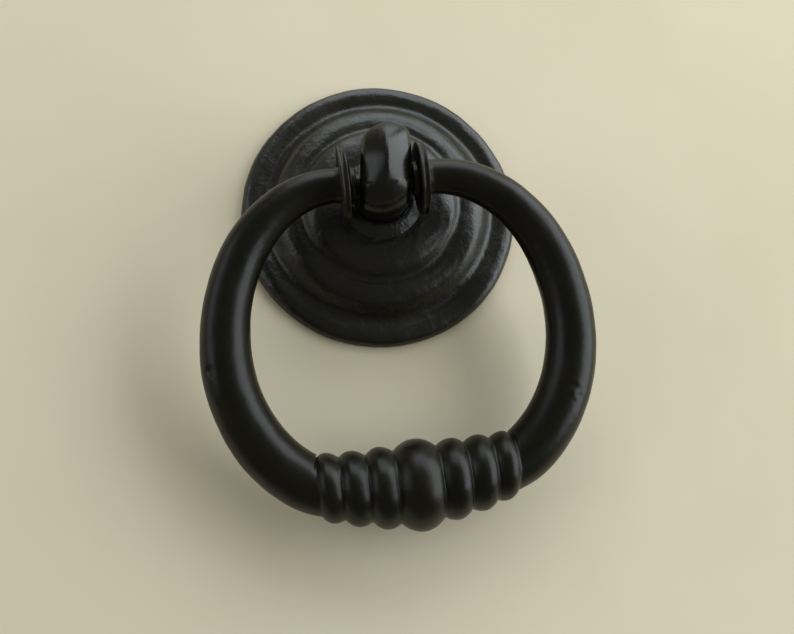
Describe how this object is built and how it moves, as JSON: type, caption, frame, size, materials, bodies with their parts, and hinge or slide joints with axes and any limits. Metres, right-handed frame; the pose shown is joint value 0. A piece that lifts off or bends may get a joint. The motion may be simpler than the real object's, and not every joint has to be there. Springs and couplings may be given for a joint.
{
  "type": "door knocker",
  "caption": "Ring pull in door-knocker form: a beaded cast ring that swings on a pin through a pointed post on a round moulded rosette plate.",
  "frame": {"origin": "centre of the rosette's back, on the door's face, at the mouth of the tapped hole", "axes": "+Z out of the door, +Y up the door, X along the ring's pivot pin; at rest the ring lies down towards -Y"},
  "size_m": [0.0584, 0.0735, 0.0195],
  "materials": {
    "plate_casting": "satin black paint over granular casting",
    "post_casting": "satin black paint, smooth",
    "ring_casting": "satin black paint, smooth, slightly lumpy",
    "pin_steel": "black oxide",
    "washer_steel": "zinc plated",
    "nut_steel": "zinc plated"
  },
  "bodies": {
    "base": {"back_plate": "plate_casting", "post": "post_casting", "spring_washer": "washer_steel", "retaining_nut": "nut_steel"},
    "ring": {"ring": "ring_casting", "pivot_pin": "pin_steel"}
  },
  "joints": [
    {"name": "ring_swing", "type": "hinge", "parent": "base", "child": "ring", "pos_m": [0, 0, 0.0138], "axis": [-1, 0, 0], "range_deg": [0, 198.2]}
  ]
}
